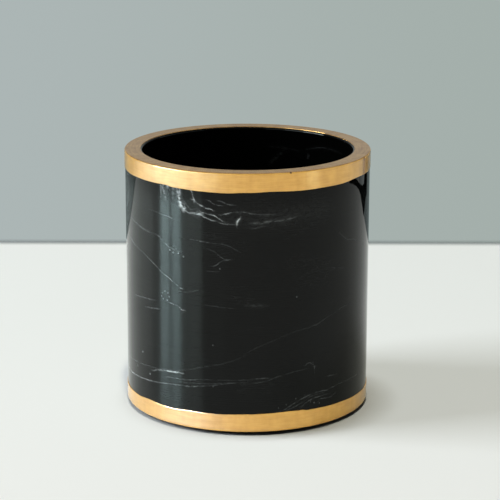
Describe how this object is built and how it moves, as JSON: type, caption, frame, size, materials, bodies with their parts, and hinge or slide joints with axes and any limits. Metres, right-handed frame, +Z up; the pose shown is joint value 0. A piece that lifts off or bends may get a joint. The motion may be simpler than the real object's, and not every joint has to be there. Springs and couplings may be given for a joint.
{
  "type": "pen holder",
  "caption": "Round desk cup for pens, black marbled cast resin with a brushed gold layer over the rim and round the foot, on a foam pad.",
  "frame": {"origin": "middle of the foam pad's underside, on the surface the holder stands on", "axes": "+Z up along the cup's axis of symmetry; X and Y are any two directions across it, since the form is round"},
  "size_m": [0.0854, 0.0854, 0.0907],
  "materials": {
    "black_resin": "polished",
    "brushed_gold": "satin",
    "adhesive_film": "satin",
    "foam": "matte"
  },
  "bodies": {
    "root": {"cup_body": "black_resin", "rim_gilding": "brushed_gold", "foot_gilding": "brushed_gold", "pad_adhesive": "adhesive_film", "foam_pad": "foam"}
  },
  "joints": []
}
